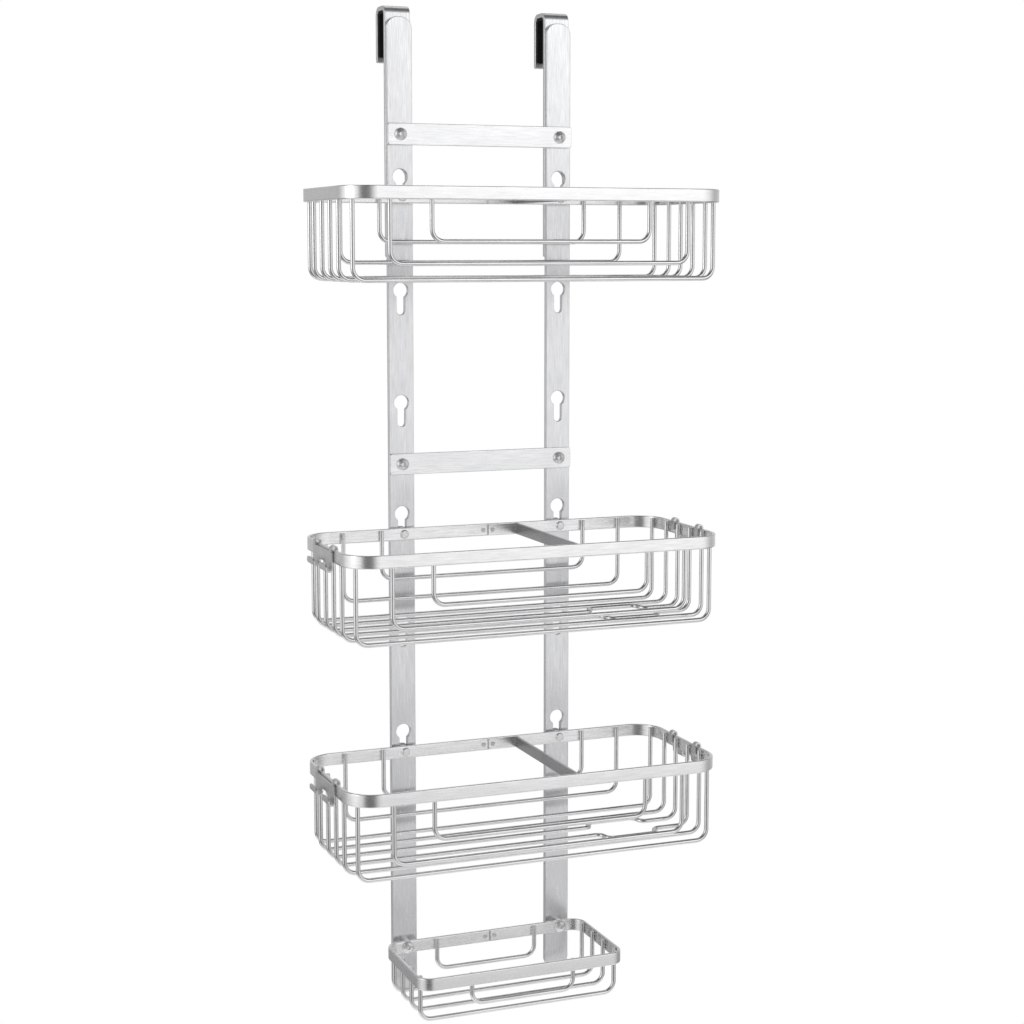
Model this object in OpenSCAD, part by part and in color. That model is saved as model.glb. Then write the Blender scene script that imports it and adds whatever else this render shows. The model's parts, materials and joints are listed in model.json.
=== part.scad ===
// Over-the-door shower caddy: two slotted rails with hooks, three lift-off wire baskets and a soap dish.
// X runs along the width, -Y is the front that faces the bather, +Z is up.
// Y = 0 is the front face of the door and Z = 0 is its top edge, midway between the rails.

/* [Rails] */
// Distance between the centre lines of the two rails
rail_pitch = 135; // [120:1:150]
// Width of each rail, hook strip and hook
rail_w = 21; // [20:0.5:24]
// Thickness of each rail
rail_t = 4; // [3:0.5:5]
// Height of the rails' top ends below the door's top edge
rail_top_drop = 3.5; // [2:0.5:6]
// Length of each rail
rail_len = 785; // [780:1:820]
// Corner radius at the rails' bottom ends
rail_end_r = 9; // [4:0.5:10]

/* [Keyholes] */
// Height of the highest keyhole's round centre below the door's top edge
keyhole_top_drop = 127; // [125:1:130]
// Distance from one keyhole to the next down a rail
keyhole_step = 89; // [86:1:89]
// Diameter of the round part
keyhole_d = 12; // [11.6:0.1:13]
// Width of the slot below the round part
keyhole_slot_w = 6.5; // [6.5:0.1:7]
// Distance from the round centre to the slot's end centre
keyhole_lift = 16; // [14:0.5:17]

/* [Hooks] */
// Thickness of the hook strips
strip_t = 3.5; // [3:0.1:3.5]
// Thickness of the rubber liner in the hooks
liner_t = 2; // [1.5:0.1:2.5]
// Space left for the door inside the lined hooks
door_gap = 12; // [8:0.5:14]
// Length of the hooks' tails below the door's top edge
tail_len = 37.5; // [30:0.5:45]
// Height of the strips' lower ends below the door's top edge
strip_drop = 190; // [175:1:200]

/* [Baskets] */
// Outside width of a basket's rim
basket_w = 306; // [290:1:320]
// Outside depth of a basket's rim, front to rear
basket_d = 132; // [126:1:140]
// Height of the rim bands
rim_h = 10; // [9:0.5:12]
// Thickness of the rim bands
rim_t = 2.5; // [2:0.1:3]
// Outside corner radius of a basket's rim
rim_r = 24; // [20:1:26]
// Gap between the rails' front faces and the baskets' rims
basket_gap = 3; // [2:0.5:5]
// Diameter of every wire
wire_d = 3.5; // [3:0.1:4]
// Number of lengthwise floor wires in a basket
floor_wires = 6; // [6:1:6]
// Distance from the rim's rear face to the rearmost floor wire
first_wire = 14; // [12:0.5:16]
// Distance from one floor wire to the next
wire_step = 21.2; // [20:0.1:22]
// Depth of the floor wires below the rim
floor_drop = 58; // [50:1:70]
// Half width and depth of the shorter wall guard
inner_guard = [87, 30]; // [20:1:100]
// Half width and depth of the longer wall guard
outer_guard = [119, 46]; // [30:1:124]
// Distance of the divider bar from the middle, to the right
divider_x = 29; // [10:1:60]
// Centre of the bottle opening from the middle, to the right
opening_x = 95; // [80:1:100]
// Length of the bottle opening in the floor
opening_len = 32; // [28:1:40]
// How far the two middle floor wires bow out at the opening
bow_step = 12; // [8:0.5:12]

/* [Soap dish] */
// Outside width of the dish's rim
dish_w = 174; // [162:1:180]
// Outside depth of the dish's rim, front to rear
dish_d = 90; // [80:1:100]
// Outside corner radius of the dish's rim
dish_r = 12; // [8:1:12]
// Height of the dish's fixing screws below the door's top edge
dish_drop = 750; // [745:1:755]
// Gap between the rails' front faces and the dish's rim
dish_gap = 6; // [4:0.5:8]
// Depth of the dish's floor wires below its rim
dish_floor_drop = 27; // [20:1:35]
// Half width and depth of the dish's wall guards
dish_guard = [43, 16]; // [10:1:60]

/* [Braces] */
// Height of a brace
brace_h = 17; // [14:0.5:20]
// Thickness of a brace
brace_t = 2.5; // [2:0.1:3]
// Height of the upper brace's centre below the door's top edge
upper_brace_drop = 94; // [90:1:105]
// Height of the lower brace's centre below the door's top edge
lower_brace_drop = 354; // [350:1:356]

/* [Side hooks] */
// Length of a side hook's plate along the rim
hook_len = 50; // [46:1:56]
// Depth of a side hook's plate below the middle of the rim
hook_drop = 12; // [11:1:20]
// Thickness of a side hook's sheet
hook_t = 1.5; // [1.2:0.1:1.8]

/* [Hidden] */
$fn = 48;
// Overlap that welds a wire to what it touches
weld = 0.05;
// Free play between a moving piece and what it slides on
play = 0.1;
rail_back = -(liner_t + strip_t);
rail_front = rail_back - rail_t;
rail_top = -rail_top_drop;
rail_bottom = rail_top - rail_len;
strip_back = -liner_t;
tail_front = door_gap + liner_t;
tail_back = tail_front + strip_t;
hook_bend_r = strip_t + liner_t + 1.5;
wire_r = wire_d / 2;
bend_r = 9;
rows = [0, 3, 5];
basket_rear = rail_front - basket_gap;
basket_front = basket_rear - basket_d;
dish_rear = rail_front - dish_gap;
dish_front = dish_rear - dish_d;
dish_wires = 4;
dish_first_wire = 13;
dish_step = (dish_d - 2 * dish_first_wire) / (dish_wires - 1);
screw_r = 2.5;
screw_head_t = 2.6;
through_r = 2.7;
nut_corner_r = 4.6;
nut_t = 3.2;
screw_past = 0.8;
nut_screw_end = rail_back + nut_t + screw_past;
brace_front = rail_front - brace_t;
hook_crotch = 6;
hook_lap = 2;
stud_neck_r = keyhole_slot_w / 2 - play;
stud_head_r = keyhole_d / 2 - 0.5;
stud_head_t = 1.8;
stud_collar_r = 5;
stud_pin_r = 2;
bumper_z = rail_bottom + 18;

function side_x(side) = side * rail_pitch / 2;
function keyhole_z(row) = -keyhole_top_drop - row * keyhole_step;
// Middle height of a basket's rim, which is the height of its studs at the bottom of their slots
function rim_z(basket) = keyhole_z(rows[basket - 1]) - keyhole_lift;
// Distance from the middle at which a wire meets a rim's rounded side wall, y_in from the nearer outside end
function wall_x(half_w, corner_r, y_in) =
    let (reach = corner_r - rim_t - wire_r + weld, dy = max(0, corner_r - y_in))
    half_w - corner_r + sqrt(reach * reach - dy * dy);

// ---- Shared shapes ----

// Moves a shape drawn with its thickness along Z so that its thickness runs along Y, from y_front back
module upright(y_front) {
    translate([0, y_front, 0])
        rotate([90, 0, 0])
            mirror([0, 0, 1])
                children();
}

// A cylinder along Y from y_front to y_back
module bar_y(r, y_front, y_back) {
    upright(y_front)
        cylinder(r = r, h = y_back - y_front);
}

// Outline of a rectangle with round corners, centred on the origin
module rounded_outline(w, d, r) {
    square([w - 2 * r, d], center = true);
    square([w, d - 2 * r], center = true);
    for (sx = [-1, 1], sy = [-1, 1])
        translate([sx * (w / 2 - r), sy * (d / 2 - r)])
            circle(r = r);
}

// Outline of a keyhole whose round part is centred on the origin and whose slot runs down
module keyhole_outline(round_r, slot_r, drop) {
    circle(r = round_r);
    translate([0, -drop])
        circle(r = slot_r);
    translate([-slot_r, -drop])
        square([2 * slot_r, drop]);
}

// A closed rim band, centred on X, from its rear face at y_rear
module rim_band(w, d, r, y_rear, z_mid) {
    translate([0, y_rear - d / 2, z_mid - rim_h / 2])
        linear_extrude(rim_h)
            difference() {
                rounded_outline(w, d, r);
                rounded_outline(w - 2 * rim_t, d - 2 * rim_t, r - rim_t);
            }
}

// A quarter bend in the XZ plane that joins a leg going up at +X to a run going towards -X
module quarter_bend() {
    rotate([90, 0, 0])
        rotate_extrude(angle = -90)
            translate([bend_r, 0])
                circle(r = wire_r);
}

// Both legs and both bends of a U of wire: the legs stand at x = +-half_w, the run lies at z_run
module wire_legs(half_w, y, z_top, z_run) {
    for (side = [0, 1])
        mirror([side, 0, 0]) {
            translate([half_w, y, z_run + bend_r])
                cylinder(r = wire_r, h = z_top - z_run - bend_r);
            translate([half_w - bend_r, y, z_run + bend_r])
                quarter_bend();
        }
}

// A straight piece of wire between two points at one height
module wire_run(from, to, z) {
    step = to - from;
    translate([from[0], from[1], z])
        rotate([0, 90, atan2(step[1], step[0])])
            cylinder(r = wire_r, h = norm(step));
}

// A plain U of wire in one upright plane
module wire_u(half_w, y, z_top, z_run) {
    wire_legs(half_w, y, z_top, z_run);
    wire_run([bend_r - half_w, y], [half_w - bend_r, y], z_run);
}

// An S bend in the XY plane: it leaves the origin along X and ends bow_step along and bow_step to the side
module bow_bend() {
    bow_r = bow_step / 2;
    translate([0, bow_r, 0])
        rotate([0, 0, -90])
            bow_arc(bow_r);
    translate([bow_step, bow_r, 0])
        rotate([0, 0, 90])
            bow_arc(bow_r);
}

module bow_arc(r) {
    rotate_extrude(angle = 90)
        translate([r, 0])
            circle(r = wire_r);
}

// A U of wire whose run bows round the bottle opening: way is 1 for a bow to the rear, -1 for one to the front
module wire_u_bowed(half_w, y, z_top, z_run, way) {
    x0 = opening_x - opening_len / 2;
    x1 = opening_x + opening_len / 2;
    y_bow = y + way * bow_step;
    wire_legs(half_w, y, z_top, z_run);
    wire_run([bend_r - half_w, y], [x0 - bow_step, y], z_run);
    wire_run([x0, y_bow], [x1, y_bow], z_run);
    wire_run([x1 + bow_step, y], [half_w - bend_r, y], z_run);
    for (end = [0, 1]) {
        x_bow = end == 0 ? x0 : x1;
        x_run = end == 0 ? x0 - bow_step : x1 + bow_step;
        // An S bend is placed by its front end, which is at the bow if the wire bows to the front
        translate([way > 0 ? x_run : x_bow, min(y, y_bow), z_run])
            mirror([way > 0 ? end : 1 - end, 0, 0])
                bow_bend();
    }
}

// A hexagon nut along Y with its thread bored to the screw's own size
module nut(y_front, y_back) {
    difference() {
        upright(y_front)
            cylinder(r = nut_corner_r, h = y_back - y_front, $fn = 6);
        bar_y(screw_r, y_front - 1, y_back + 1);
    }
}

// A button-head screw along Y whose head sits on y_head and faces the front
module button_screw(y_head, y_end) {
    head_r = 5;
    dome_r = 6.2;
    socket_r = 1.7;
    socket_deep = 1.7;
    difference() {
        union() {
            translate([0, y_head, 0])
                rotate([90, 0, 0])
                    rotate_extrude()
                        intersection() {
                            square([head_r, screw_head_t]);
                            translate([0, screw_head_t - dome_r])
                                circle(r = dome_r);
                        }
            bar_y(screw_r, y_head, y_end);
        }
        upright(y_head - screw_head_t - 1)
            cylinder(r = socket_r, h = socket_deep + 1, $fn = 6);
    }
}

// ---- Frame ----

module rail(side) {
    color("lightsteelblue")
        difference() {
            translate([side_x(side), 0, 0])
                upright(rail_front)
                    difference() {
                        translate([0, (rail_top + rail_bottom) / 2])
                            linear_extrude(rail_t)
                                rounded_outline(rail_w, rail_len, rail_end_r);
                        for (row = [0 : 5])
                            translate([0, keyhole_z(row), -1])
                                linear_extrude(rail_t + 2)
                                    keyhole_outline(keyhole_d / 2, keyhole_slot_w / 2, keyhole_lift);
                    }
            for (drop = [upper_brace_drop, lower_brace_drop, dish_drop])
                translate([side_x(side), 0, -drop])
                    bar_y(through_r, rail_front - 1, rail_back + 1);
        }
}

// Side outline of a hook, filled in, with X running back and Y running up; wall insets it on every side
module hook_space(wall) {
    corner = max(0.8, hook_bend_r - wall);
    x0 = rail_back + wall;
    x1 = tail_back - wall;
    top = liner_t + strip_t - wall;
    for (x = [x0 + corner, x1 - corner])
        translate([x, top - corner])
            circle(r = corner);
    translate([x0 + corner, top - corner])
        square([x1 - x0 - 2 * corner, corner]);
    translate([x0, -strip_drop - 1])
        square([x1 - x0, strip_drop + 1 + top - corner]);
}

module hook_strip(side) {
    color("lightsteelblue")
        difference() {
            translate([side_x(side) - rail_w / 2, 0, 0])
                rotate([90, 0, 90])
                    linear_extrude(rail_w)
                        difference() {
                            hook_space(0);
                            hook_space(strip_t);
                            translate([rail_back - 1, -strip_drop - 2])
                                square([tail_back - rail_back + 2, 2]);
                            translate([strip_back + 0.5, -strip_drop - 2])
                                square([tail_back - strip_back, strip_drop + 2 - tail_len]);
                        }
            translate([side_x(side), 0, -upper_brace_drop])
                bar_y(screw_r, rail_back - 1, strip_back + 1);
            translate([side_x(side), 0, keyhole_z(0)])
                upright(rail_back - 1)
                    linear_extrude(strip_t + 2)
                        keyhole_outline(keyhole_d / 2 + 0.3, keyhole_d / 2 + 0.3, keyhole_lift);
        }
}

module hook_liner(side) {
    liner_w = rail_w - 2;
    color("#202122")
        translate([side_x(side) - liner_w / 2, 0, 0])
            rotate([90, 0, 90])
                linear_extrude(liner_w)
                    difference() {
                        hook_space(strip_t);
                        hook_space(strip_t + liner_t);
                        translate([rail_back - 1, -strip_drop - 2])
                            square([tail_back - rail_back + 2, strip_drop + 2 - tail_len + 4]);
                    }
}

module brace(drop) {
    color("gainsboro")
        difference() {
            translate([0, 0, -drop])
                upright(rail_front - brace_t)
                    linear_extrude(brace_t)
                        rounded_outline(rail_pitch + rail_w, brace_h, 2);
            for (side = [-1, 1])
                translate([side_x(side), 0, -drop])
                    bar_y(through_r, rail_front - brace_t - 1, rail_front + 1);
        }
}

module screw_pair(y_head, y_end, drop) {
    color("silver")
        for (side = [-1, 1])
            translate([side_x(side), 0, -drop])
                button_screw(y_head, y_end);
}

module nut_pair(drop) {
    color("silver")
        for (side = [-1, 1])
            translate([side_x(side), 0, -drop])
                nut(rail_back, rail_back + nut_t);
}

module door_bumper(side) {
    bumper_r = 8;
    chamfer = 1;
    color("#202122")
        translate([side_x(side), rail_back, bumper_z])
            rotate([-90, 0, 0]) {
                cylinder(r = bumper_r, h = -rail_back - chamfer);
                translate([0, 0, -rail_back - chamfer])
                    cylinder(r1 = bumper_r, r2 = bumper_r - chamfer, h = chamfer);
            }
}

// ---- Soap dish ----

module dish_rim() {
    color("gainsboro")
        difference() {
            rim_band(dish_w, dish_d, dish_r, dish_rear, -dish_drop);
            for (side = [-1, 1])
                translate([side_x(side), 0, -dish_drop])
                    bar_y(through_r, dish_rear - rim_t - 1, dish_rear + 1);
        }
}

module dish_floor_wires() {
    color("silver")
        for (i = [0 : dish_wires - 1]) {
            y_in = dish_first_wire + i * dish_step;
            wire_u(wall_x(dish_w / 2, dish_r, min(y_in, dish_d - y_in)), dish_rear - y_in,
                   rim_h / 2 - 1 - dish_drop, -dish_drop - rim_h / 2 - dish_floor_drop);
        }
}

module dish_guard_wire(y) {
    color("silver")
        wire_u(dish_guard[0], y, rim_h / 2 - 1 - dish_drop, -dish_drop - rim_h / 2 - dish_guard[1]);
}

module dish_spacers() {
    spacer_r = 4.5;
    color("silver")
        for (side = [-1, 1])
            translate([side_x(side), 0, -dish_drop])
                difference() {
                    bar_y(spacer_r, dish_rear, rail_front);
                    bar_y(through_r, dish_rear - 1, rail_front + 1);
                }
}

// ---- Baskets ----

module basket_rim(basket) {
    color("gainsboro")
        difference() {
            rim_band(basket_w, basket_d, rim_r, basket_rear, rim_z(basket));
            for (side = [-1, 1])
                translate([side_x(side), 0, rim_z(basket)])
                    bar_y(stud_pin_r, basket_rear - rim_t - 1, basket_rear + 1);
        }
}

module basket_floor_wires(basket) {
    z_top = rim_z(basket) + rim_h / 2 - 1;
    z_run = rim_z(basket) - rim_h / 2 - floor_drop;
    color("silver")
        for (i = [0 : floor_wires - 1]) {
            y_in = first_wire + i * wire_step;
            half = wall_x(basket_w / 2, rim_r, min(y_in, basket_d - y_in));
            way = i == 2 ? 1 : i == 3 ? -1 : 0;
            if (way == 0)
                wire_u(half, basket_rear - y_in, z_top, z_run);
            else
                wire_u_bowed(half, basket_rear - y_in, z_top, z_run, way);
        }
}

// A wall guard: wall is 1 for the rear wall and -1 for the front wall
module basket_guard(basket, size, wall) {
    inset = rim_t + wire_r - weld;
    y = wall > 0 ? basket_rear - inset : basket_front + inset;
    color("silver")
        wire_u(size[0], y, rim_z(basket) + rim_h / 2 - 1, rim_z(basket) - rim_h / 2 - size[1]);
}

module basket_divider(basket) {
    bar_h = rim_h - 1;
    color("darkgray")
        translate([divider_x - rim_t / 2, basket_front + rim_t, rim_z(basket) - bar_h / 2])
            cube([rim_t, basket_d - 2 * rim_t, bar_h]);
}

// Shoulder studs riveted to the rim: head, neck, collar, pin and rivet head, from the rear to the front
module basket_studs(basket) {
    head_front = rail_back + play;
    collar_back = rail_front - play;
    rivet_r = [3.6, 2.8];
    rivet_t = 1.3;
    color("silver")
        for (side = [-1, 1])
            translate([side_x(side), 0, rim_z(basket)]) {
                bar_y(stud_head_r, head_front, head_front + stud_head_t);
                bar_y(stud_neck_r, collar_back, head_front);
                bar_y(stud_collar_r, basket_rear, collar_back);
                bar_y(stud_pin_r, basket_rear - rim_t, basket_rear);
                translate([0, basket_rear - rim_t, 0])
                    rotate([90, 0, 0])
                        cylinder(r1 = rivet_r[0], r2 = rivet_r[1], h = rivet_t);
            }
}

// ---- Side hooks ----

// A folded sheet hook over the side rim: side is -1 for the left rim and 1 for the right rim
module side_hook(basket, side) {
    tab_w = 5;
    tab_y = wire_step;
    prong_w = 17;
    inner_x = basket_w / 2 - rim_t - 0.2;
    plate_x = basket_w / 2 + 0.2;
    arch_r = (plate_x - inner_x) / 2;
    arch_z = rim_h / 2 + 0.2;
    y_mid = basket_rear - first_wire - 2.5 * wire_step;
    color("silver")
        translate([0, y_mid, rim_z(basket)])
            mirror([side < 0 ? 1 : 0, 0, 0]) {
                for (tab = [-1, 1])
                    translate([0, tab * tab_y + tab_w / 2, 0])
                        rotate([90, 0, 0])
                            linear_extrude(tab_w)
                                hook_tab_outline(inner_x, arch_r, arch_z);
                translate([plate_x, -hook_len / 2, -hook_crotch])
                    cube([hook_t, hook_len, hook_crotch + arch_z - hook_lap]);
                for (prong = [-1, 1])
                    translate([0, prong * (hook_len - prong_w) / 2 + prong_w / 2, 0])
                        rotate([90, 0, 0])
                            linear_extrude(prong_w)
                                hook_prong_outline(plate_x);
            }
}

// A tab's outline: up from the plate, over the rim's edge and down inside it
module hook_tab_outline(inner_x, arch_r, arch_z) {
    translate([inner_x - hook_t, -hook_lap])
        square([hook_t, arch_z + hook_lap]);
    translate([inner_x + 2 * arch_r, -hook_lap])
        square([hook_t, arch_z + hook_lap]);
    translate([inner_x + arch_r, arch_z])
        difference() {
            circle(r = arch_r + hook_t);
            circle(r = arch_r);
            translate([-10, -20])
                square([20, 20]);
        }
}

// A prong's outline: down the plate, round the curl and up its outer lip
module hook_prong_outline(plate_x) {
    curl_r = 1.6;
    lip_h = 3;
    curl_z = curl_r + hook_t - hook_drop;
    translate([plate_x, curl_z])
        square([hook_t, -hook_crotch - curl_z]);
    translate([plate_x + hook_t + curl_r, curl_z])
        difference() {
            circle(r = curl_r + hook_t);
            circle(r = curl_r);
            translate([-10, 0])
                square([20, 20]);
        }
    translate([plate_x + hook_t + 2 * curl_r, curl_z])
        square([hook_t, lip_h]);
}

// ---- Nodes ----

rail(-1);  // rail_left
rail(1);  // rail_right
hook_strip(-1);  // hook_strip_left
hook_strip(1);  // hook_strip_right
hook_liner(-1);  // hook_liner_left
hook_liner(1);  // hook_liner_right
brace(upper_brace_drop);  // upper_brace
brace(lower_brace_drop);  // lower_brace
screw_pair(brace_front, strip_back, upper_brace_drop);  // upper_brace_screws
screw_pair(brace_front, nut_screw_end, lower_brace_drop);  // lower_brace_screws
nut_pair(lower_brace_drop);  // lower_brace_nuts
door_bumper(-1);  // door_bumper_left
door_bumper(1);  // door_bumper_right
dish_rim();
dish_floor_wires();
dish_guard_wire(dish_front + rim_t + wire_r - weld);  // dish_front_guard
dish_guard_wire(dish_rear - rim_t - wire_r + weld);  // dish_rear_guard
screw_pair(dish_rear - rim_t, nut_screw_end, dish_drop);  // dish_screws
dish_spacers();
nut_pair(dish_drop);  // dish_nuts
for (b = [1 : 3]) {
    name = str("basket_", b, "_");
    basket_rim(b);
    basket_floor_wires(b);
    basket_guard(b, inner_guard, -1);
    basket_guard(b, outer_guard, -1);
    basket_guard(b, inner_guard, 1);
    basket_guard(b, outer_guard, 1);
    basket_divider(b);
    basket_studs(b);
}
side_hook(2, -1);  // basket_2_side_hook_left
side_hook(2, 1);  // basket_2_side_hook_right
side_hook(3, -1);  // basket_3_side_hook_left
side_hook(3, 1);  // basket_3_side_hook_right
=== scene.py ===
import json
import math

import bmesh
import bpy
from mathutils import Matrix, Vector, geometry, noise


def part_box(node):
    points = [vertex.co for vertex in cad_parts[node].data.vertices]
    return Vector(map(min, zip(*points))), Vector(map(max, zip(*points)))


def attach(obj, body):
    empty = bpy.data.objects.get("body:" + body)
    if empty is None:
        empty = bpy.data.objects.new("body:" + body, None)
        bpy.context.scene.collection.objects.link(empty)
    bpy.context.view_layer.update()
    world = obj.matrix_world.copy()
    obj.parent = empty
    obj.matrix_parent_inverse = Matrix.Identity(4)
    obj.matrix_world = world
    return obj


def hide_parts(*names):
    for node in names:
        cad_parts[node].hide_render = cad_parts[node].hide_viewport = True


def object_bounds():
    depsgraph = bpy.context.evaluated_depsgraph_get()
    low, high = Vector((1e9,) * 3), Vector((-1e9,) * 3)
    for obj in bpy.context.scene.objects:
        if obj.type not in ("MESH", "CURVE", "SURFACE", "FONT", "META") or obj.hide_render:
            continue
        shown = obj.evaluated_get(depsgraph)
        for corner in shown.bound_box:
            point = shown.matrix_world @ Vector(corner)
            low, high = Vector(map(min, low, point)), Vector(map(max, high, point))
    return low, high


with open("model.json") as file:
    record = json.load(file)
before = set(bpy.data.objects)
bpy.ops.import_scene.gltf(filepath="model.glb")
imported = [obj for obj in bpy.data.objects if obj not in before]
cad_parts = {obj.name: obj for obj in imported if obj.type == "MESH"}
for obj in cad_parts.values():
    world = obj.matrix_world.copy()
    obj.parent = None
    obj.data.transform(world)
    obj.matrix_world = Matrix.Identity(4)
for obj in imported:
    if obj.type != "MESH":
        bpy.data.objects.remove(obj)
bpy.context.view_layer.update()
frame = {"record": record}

# ---- Rails ----
# The two rails are flat bars of satin anodised aluminium that carry everything. Each is punched with six
# keyholes and drilled for three screws, its edges are broken, and it is brushed along its length.

mm = 0.001


def round_corners(points, radii, steps=8):
    """A closed outline whose corners are rounded, as a counter-clockwise list of points."""
    made = []
    for i, corner in enumerate(points):
        before = (points[i - 1] - corner).normalized()
        after = (points[(i + 1) % len(points)] - corner).normalized()
        radius = radii[i]
        if radius <= 0:
            made.append(corner.copy())
            continue
        half = before.angle(after) / 2
        reach = radius / math.tan(half)
        centre = corner + (before + after).normalized() * radius / math.sin(half)
        start = corner + before * reach - centre
        end = corner + after * reach - centre
        turn = start.angle_signed(end)
        for k in range(steps + 1):
            part = -turn * k / steps
            made.append(centre + Vector((start.x * math.cos(part) - start.y * math.sin(part),
                                         start.x * math.sin(part) + start.y * math.cos(part))))
    return made


def round_hole(u, radius, steps=40):
    """The outline of a hole drilled at distance u along the middle of a bar."""
    turns = [math.tau * k / steps for k in range(steps)]
    return [Vector((u + radius * math.cos(a), radius * math.sin(a))) for a in turns]


def keyhole(radius, slot, drop, steps=30):
    """A punched keyhole about the middle of its round hole, with a slot that runs down by drop."""
    mouth = math.asin(slot / radius)
    outline = []
    for k in range(steps + 1):
        a = -math.pi / 2 + mouth + (math.tau - 2 * mouth) * k / steps
        outline.append(Vector((radius * math.cos(a), radius * math.sin(a))))
    foot_steps = 10
    for k in range(foot_steps + 1):
        a = math.pi + math.pi * k / foot_steps
        outline.append(Vector((slot * math.cos(a), slot * math.sin(a) - drop)))
    return outline


def set_in(loop, inset):
    """The outline moved to its left by inset, which is inwards for a counter-clockwise one."""
    moved, sharpest = [], 0.5
    for i, p in enumerate(loop):
        a = (p - loop[i - 1]).normalized()
        b = (loop[(i + 1) % len(loop)] - p).normalized()
        side = Vector((-a.y, a.x)) + Vector((-b.y, b.x))
        square = side.normalized()
        moved.append(p + square * inset / max(sharpest, square.dot(Vector((-a.y, a.x)))))
    return moved


def sheet_blank(outline, holes, thick, edge, steps=3):
    """A flat blank in U and V, thick along W, with its holes in and every edge rounded by edge."""
    bm = bmesh.new()
    loops = [outline] + [list(reversed(h)) for h in holes]
    profile = []
    for k in range(steps + 1):
        a = math.pi / 2 * k / steps
        profile.append((edge * (1 - math.sin(a)), edge * (1 - math.cos(a))))
    rings = [(i, w) for i, w in profile] + [(i, thick - w) for i, w in reversed(profile)]
    faces = {0: [], len(rings) - 1: []}
    for loop in loops:
        made = []
        for n, (inset, w) in enumerate(rings):
            made.append([bm.verts.new((p.x, p.y, w)) for p in set_in(loop, inset)])
            if n in faces:
                faces[n].append(made[-1])
        for low, high in zip(made, made[1:]):
            for i in range(len(loop)):
                j = (i + 1) % len(loop)
                bm.faces.new((low[i], low[j], high[j], high[i]))
    for n, flat_loops in faces.items():
        corners = [v for flat in flat_loops for v in flat]
        for tri in geometry.tessellate_polygon([[v.co for v in flat] for flat in flat_loops]):
            face = [corners[i] for i in tri]
            turned = (face[1].co - face[0].co).cross(face[2].co - face[0].co).z > 0
            if turned == (n == 0):
                face.reverse()
            bm.faces.new(face)
    bmesh.ops.recalc_face_normals(bm, faces=bm.faces)
    return bm


def set_piece(name, bm, place, body, stands_for, finish, sharp=35):
    """Makes a piece from a blank: place puts its points where they go, and U, V, W stay as their grain."""
    mesh = bpy.data.meshes.new(name)
    grain = []
    for v in bm.verts:
        grain.extend(v.co)
    for v in bm.verts:
        v.co = place(v.co)
    bmesh.ops.recalc_face_normals(bm, faces=bm.faces)
    bm.to_mesh(mesh)
    bm.free()
    mesh.attributes.new("grain", "FLOAT_VECTOR", "POINT").data.foreach_set("vector", grain)
    mesh.shade_smooth()
    mesh.set_sharp_from_angle(angle=math.radians(sharp))
    mesh.materials.append(finish)
    piece = bpy.data.objects.new(name, mesh)
    bpy.context.scene.collection.objects.link(piece)
    smooth = piece.modifiers.new("flat faces stay flat", "WEIGHTED_NORMAL")
    smooth.keep_sharp = True
    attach(piece, body)
    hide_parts(*stands_for)
    return piece


def brushed(name, base, shade, rough, grit, streak=(60, 1100, 1100), hair=(90, 6500, 6500)):
    """Satin metal brushed along U of its blank: fine hairlines, wider streaks and faint clouds."""
    mat = bpy.data.materials.new(name)
    mat.use_nodes = True
    tree = mat.node_tree
    shader = tree.nodes["Principled BSDF"]
    shader.inputs["Metallic"].default_value = 1.0

    def add(kind, **settings):
        node = tree.nodes.new(kind)
        for key, value in settings.items():
            setattr(node, key, value)
        return node

    def texture(scale, size, detail):
        stretch = add("ShaderNodeVectorMath", operation="MULTIPLY")
        stretch.inputs[1].default_value = scale
        tree.links.new(grain.outputs["Vector"], stretch.inputs[0])
        made = add("ShaderNodeTexNoise")
        made.inputs["Scale"].default_value = size
        made.inputs["Detail"].default_value = detail
        tree.links.new(stretch.outputs[0], made.inputs["Vector"])
        return made.outputs["Fac"]

    def spread(source, low, high):
        made = add("ShaderNodeMapRange")
        made.inputs["From Min"].default_value = 0.3
        made.inputs["From Max"].default_value = 0.7
        made.inputs["To Min"].default_value = low
        made.inputs["To Max"].default_value = high
        tree.links.new(source, made.inputs["Value"])
        return made.outputs["Result"]

    def blended(fac, first, second):
        made = add("ShaderNodeMix", data_type="RGBA")
        tree.links.new(fac, made.inputs["Factor"])
        for socket, value in ((made.inputs[6], first), (made.inputs[7], second)):
            if isinstance(value, tuple):
                socket.default_value = value
            else:
                tree.links.new(value, socket)
        return made.outputs[2]

    grain = add("ShaderNodeAttribute", attribute_name="grain")
    wide = texture(streak, 1.0, 3.0)
    fine = texture(hair, 1.0, 2.0)
    cloud = texture((25, 60, 60), 1.0, 3.0)
    tone = blended(spread(cloud, 0, 1), (*base, 1), (*shade, 1))
    tone = blended(spread(wide, 0, 0.45), tone, (*[c * 0.86 for c in shade], 1))
    tree.links.new(tone, shader.inputs["Base Color"])
    both = add("ShaderNodeMath", operation="ADD")
    tree.links.new(spread(wide, rough - 0.05, rough + 0.06), both.inputs[0])
    tree.links.new(spread(fine, -0.03, 0.04), both.inputs[1])
    tree.links.new(both.outputs[0], shader.inputs["Roughness"])
    height = add("ShaderNodeMath", operation="ADD")
    tree.links.new(spread(wide, 0, 0.4), height.inputs[0])
    tree.links.new(fine, height.inputs[1])
    bump = add("ShaderNodeBump")
    bump.inputs["Strength"].default_value = grit
    bump.inputs["Distance"].default_value = 0.00004
    tree.links.new(height.outputs[0], bump.inputs["Height"])
    tree.links.new(bump.outputs["Normal"], shader.inputs["Normal"])
    return mat


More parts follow.
